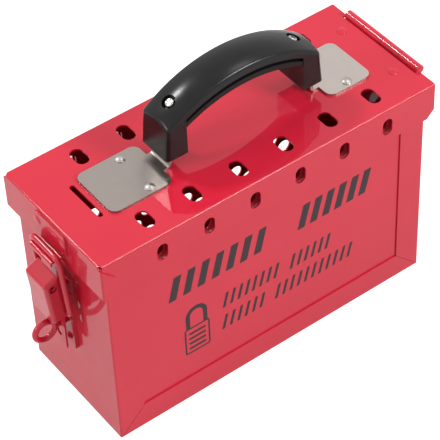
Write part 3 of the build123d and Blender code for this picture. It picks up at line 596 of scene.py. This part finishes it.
def printed_padlock_body(sizes):
    """Outline of the padlock's body: a rounded block whose middle is cut out by a bridge."""
    half = sizes.padlock_width / 2
    foot = sizes.padlock_foot
    head = foot + sizes.padlock_height
    left = sizes.padlock_middle - half
    body = ink_block("printed_padlock_body", sizes, left, sizes.padlock_middle + half, foot, head)
    round_corners(body, sizes.padlock_corner)
    select_faces(body, lambda middle, normal: abs(normal.y) > 0.9)
    bpy.ops.mesh.inset(thickness=sizes.padlock_border, use_individual=True)
    centre = (sizes.padlock_middle, (foot + head) / 2)
    # Front and back face of the middle, which alone lie within a border's width of the centre
    select_faces(
        body,
        lambda middle, normal: math.dist((middle.x, middle.z), centre) < sizes.padlock_border,
    )
    bpy.ops.mesh.bridge_edge_loops()
    face_outwards()
    return body


def printed_shackle(sizes):
    """The padlock's shackle: a flat bar drawn up one leg, spun round the bow and down the other leg."""
    foot = sizes.padlock_foot + sizes.padlock_height
    head = foot + sizes.shackle_leg
    leg = sizes.padlock_middle - sizes.shackle_radius
    half = sizes.shackle_bar / 2
    shackle = ink_block("printed_padlock_shackle", sizes, leg - half, leg + half, foot, head)
    select_faces(shackle, lambda middle, normal: normal.z > 0.9)
    bpy.ops.mesh.spin(steps=20, angle=math.pi, center=(sizes.padlock_middle, 0, head), axis=(0, -1, 0))
    # The free end of the bow, which looks down at the head of the second leg
    select_faces(
        shackle,
        lambda middle, normal: middle.x > sizes.padlock_middle
        and abs(normal.z) > 0.9
        and abs(middle.z - head) < 0.1 * MM,
    )
    bpy.ops.mesh.extrude_region_move(TRANSFORM_OT_translate={"value": (0, 0, -sizes.shackle_leg)})
    face_outwards()
    return shackle


def printed_lines(sizes):
    """Four plain lines inside the padlock's body: one line, repeated down the body."""
    half = sizes.line_length / 2
    head = sizes.padlock_foot + sizes.padlock_height - sizes.line_drop
    left = sizes.padlock_middle - half
    right = sizes.padlock_middle + half
    line = ink_block("printed_padlock_lines", sizes, left, right, head - sizes.line_height, head)
    round_corners(line, sizes.line_corner)
    repeat(line, 4, (0, 0, -sizes.line_pitch))
    return line


# Stage


def any_ray(tree, rays, kinds):
    """Socket that is 1 for rays of any of these kinds and 0 for all others."""
    seen = rays.outputs[kinds[0]]
    for kind in kinds[1:]:
        either = add_node(tree, "ShaderNodeMath", {"operation": "MAXIMUM"}, {0: seen, 1: rays.outputs[kind]})
        seen = either.outputs[0]
    return seen


def pale_floor(stage):
    """Matt floor paint that glows to white for the camera, and less in the mirror images of a gloss."""
    material, tree, output, place = new_finish("pale_floor")
    rays = add_node(tree, "ShaderNodeLightPath")
    matt = add_node(tree, "ShaderNodeBsdfDiffuse", {"Color": rgba(stage.floor_colour)})
    glow = add_node(tree, "ShaderNodeEmission", {"Color": WHITE, "Strength": stage.floor_glow})
    seen = add_node(tree, "ShaderNodeAddShader", {}, {0: matt.outputs[0], 1: glow.outputs[0]})
    sheen = add_node(tree, "ShaderNodeEmission", {"Color": WHITE, "Strength": stage.mirror_glow})
    mirrored = add_node(tree, "ShaderNodeAddShader", {}, {0: matt.outputs[0], 1: sheen.outputs[0]})
    unseen = add_node(
        tree,
        "ShaderNodeMixShader",
        {},
        {0: rays.outputs["Is Glossy Ray"], 1: matt.outputs[0], 2: mirrored.outputs[0]},
    )
    direct = any_ray(tree, rays, ["Is Camera Ray", "Is Transmission Ray"])
    paint = add_node(tree, "ShaderNodeMixShader", {}, {0: direct, 1: unseen.outputs[0], 2: seen.outputs[0]})
    tree.links.new(paint.outputs[0], output.inputs["Surface"])
    return material


def soft_studio(stage):
    """White world: plain soft light on the box, and a full white where it is seen or mirrored."""
    world = bpy.data.worlds.new("soft_studio")
    world.use_nodes = True
    tree = world.node_tree
    tree.nodes.clear()
    rays = add_node(tree, "ShaderNodeLightPath")
    strength = add_node(
        tree,
        "ShaderNodeMapRange",
        {"To Min": stage.world_strength, "To Max": 1.0},
        {"Value": any_ray(tree, rays, ["Is Camera Ray", "Is Glossy Ray", "Is Transmission Ray"])},
    )
    background = add_node(
        tree, "ShaderNodeBackground", {"Color": WHITE}, {"Strength": strength.outputs["Result"]}
    )
    output = add_node(tree, "ShaderNodeOutputWorld")
    tree.links.new(background.outputs[0], output.inputs["Surface"])
    return world


def soft_lamp(name, spot, diameter, power):
    """A round soft lamp that looks at the middle of the box."""
    lamp_data = bpy.data.lights.new(name, "AREA")
    lamp_data.shape = "DISK"
    lamp_data.size = diameter
    lamp_data.energy = power
    lamp = bpy.data.objects.new(name, lamp_data)
    lamp.location = spot
    lamp.rotation_euler = (LAMP_TARGET - Vector(spot)).to_track_quat("-Z", "Y").to_euler()
    return lamp


def photo_camera(stage):
    """Camera at the photograph's place, turned a little about its line of sight."""
    camera_data = bpy.data.cameras.new("camera")
    camera_data.lens = stage.lens
    camera_data.sensor_width = 36
    camera_data.clip_end = 50
    camera = bpy.data.objects.new("camera", camera_data)
    forward = (CAMERA_TARGET - CAMERA_PLACE).normalized()
    level_right = forward.cross(Vector((0, 0, 1))).normalized()
    level_up = level_right.cross(forward)
    right = level_right * math.cos(stage.roll) - level_up * math.sin(stage.roll)
    up = level_up * math.cos(stage.roll) + level_right * math.sin(stage.roll)
    turn = Matrix((right, up, -forward)).transposed()
    camera.matrix_world = Matrix.Translation(CAMERA_PLACE * MM) @ turn.to_4x4()
    return camera


# Operators


class LOCKOUT_OT_enamel(bpy.types.Operator):
    """Red enamel on the shell, panels, lid, hinge and latch"""

    bl_idname = "lockout.enamel"
    bl_label = "Enamel"

    def execute(self, context):
        finishes = context.scene.lockout_finishes
        give_finish(stoving_enamel("stoving_enamel_body", finishes), BODY_PIECES)
        give_finish(stoving_enamel("stoving_enamel_lid", finishes), LID_PIECES)
        give_finish(stoving_enamel("stoving_enamel_latch", finishes), LATCH_PIECES)
        return {"FINISHED"}


class LOCKOUT_OT_metalwork(bpy.types.Operator):
    """Bare metal: the handle's plates, their rivets and the grip's screws"""

    bl_idname = "lockout.metalwork"
    bl_label = "Bare metal"

    def execute(self, context):
        finishes = context.scene.lockout_finishes
        # Lit and shaded copies of one stainless: painted shade on the left plate, painted light on the right
        # plate
        left = mill_stainless("mill_stainless_left_painted_shade", finishes.stainless_left_painted_shade)
        right = mill_stainless("mill_stainless_right_painted_light", finishes.stainless_right_painted_light)
        rivets = plated_steel("rivet_steel", finishes.rivet, roughness=0.34, grain=1.1111)
        screws = plated_steel("bright_zinc", finishes.zinc, roughness=0.22, grain=1.4286)
        give_finish(left, ["handle_bracket_left"])
        give_finish(right, ["handle_bracket_right"])
        give_finish(rivets, ["handle_rivets_left", "handle_rivets_right"])
        give_finish(screws, ["handle_screw_left", "handle_screw_right"])
        return {"FINISHED"}


class LOCKOUT_OT_grip(bpy.types.Operator):
    """Moulded nylon of the carrying handle"""

    bl_idname = "lockout.grip"
    bl_label = "Grip"

    def execute(self, context):
        finishes = context.scene.lockout_finishes
        grip = moulded_nylon("moulded_nylon_grip", finishes.nylon, smoothest=0.18, roughest=0.27)
        insert = moulded_nylon("moulded_nylon_insert", finishes.nylon_insert, smoothest=0.45, roughest=0.6)
        give_finish(grip, ["handle_grip"])
        give_finish(insert, ["handle_insert"])
        return {"FINISHED"}


class LOCKOUT_OT_printed_rows(bpy.types.Operator):
    """Rows of plain leaning strokes on the front panel"""

    bl_idname = "lockout.printed_rows"
    bl_label = "Printed rows"

    def execute(self, context):
        sizes = context.scene.lockout_printing
        heavy = (sizes.heavy_height, sizes.heavy_stroke, sizes.heavy_pitch)
        light = (sizes.light_height, sizes.light_stroke, sizes.light_pitch)
        rows = [printed_strokes(name, sizes, ends, *heavy) for name, ends in HEAVY_ROWS.items()]
        rows += [printed_strokes(name, sizes, ends, *light) for name, ends in LIGHT_ROWS.items()]
        print_in_ink(rows)
        return {"FINISHED"}


class LOCKOUT_OT_printed_padlock(bpy.types.Operator):
    """A plain padlock on the front panel"""

    bl_idname = "lockout.printed_padlock"
    bl_label = "Printed padlock"

    def execute(self, context):
        sizes = context.scene.lockout_printing
        print_in_ink([printed_padlock_body(sizes), printed_shackle(sizes), printed_lines(sizes)])
        return {"FINISHED"}


class LOCKOUT_OT_stage(bpy.types.Operator):
    """Floor, world, lamps and camera"""

    bl_idname = "lockout.stage"
    bl_label = "Stage"

    def execute(self, context):
        scene = context.scene
        stage = scene.lockout_stage
        deselect()
        # The floor lies a hair below the box's underside, so that the two don't flicker
        bpy.ops.mesh.primitive_plane_add(size=12, location=(0, 0, -0.2 * MM))
        floor = context.object
        floor.name = "floor"
        place_in_mesh(floor)
        floor.data.materials.append(pale_floor(stage))
        scene.world = soft_studio(stage)
        for name, (spot, diameter, power) in LAMPS.items():
            scene.collection.objects.link(soft_lamp(name, spot, diameter, power))
        scene.camera = photo_camera(stage)
        scene.collection.objects.link(scene.camera)
        scene.view_settings.view_transform = "Standard"
        return {"FINISHED"}


GROUPS = {
    "lockout_finishes": LOCKOUT_PG_finishes,
    "lockout_printing": LOCKOUT_PG_printing,
    "lockout_stage": LOCKOUT_PG_stage,
}
STEPS = (
    LOCKOUT_OT_enamel,
    LOCKOUT_OT_metalwork,
    LOCKOUT_OT_grip,
    LOCKOUT_OT_printed_rows,
    LOCKOUT_OT_printed_padlock,
    LOCKOUT_OT_stage,
)


class LOCKOUT_PT_panel(bpy.types.Panel):
    """Lists the finishes, the sizes and the steps that dress the box"""

    bl_idname = "LOCKOUT_PT_panel"
    bl_label = "Lockout box"
    bl_space_type = "VIEW_3D"
    bl_region_type = "UI"
    bl_category = "Lockout box"

    def draw(self, context):
        for group_name, group_class in GROUPS.items():
            box = self.layout.box()
            for key in group_class.__annotations__:
                box.prop(getattr(context.scene, group_name), key)
        for step in STEPS:
            self.layout.operator(step.bl_idname)


CLASSES = (*GROUPS.values(), *STEPS, LOCKOUT_PT_panel)


def register():
    """Makes the classes known to Blender and puts their settings on the scene."""
    for entry in CLASSES:
        bpy.utils.register_class(entry)
    for group_name, group_class in GROUPS.items():
        setattr(bpy.types.Scene, group_name, bpy.props.PointerProperty(type=group_class))


def unregister():
    """Takes the settings and the classes away again."""
    for group_name in GROUPS:
        delattr(bpy.types.Scene, group_name)
    for entry in reversed(CLASSES):
        bpy.utils.unregister_class(entry)


def main():
    """Runs the steps in order."""
    register()
    bpy.ops.lockout.enamel()
    bpy.ops.lockout.metalwork()
    bpy.ops.lockout.grip()
    bpy.ops.lockout.printed_rows()
    bpy.ops.lockout.printed_padlock()
    bpy.ops.lockout.stage()


if __name__ == "__main__":
    main()
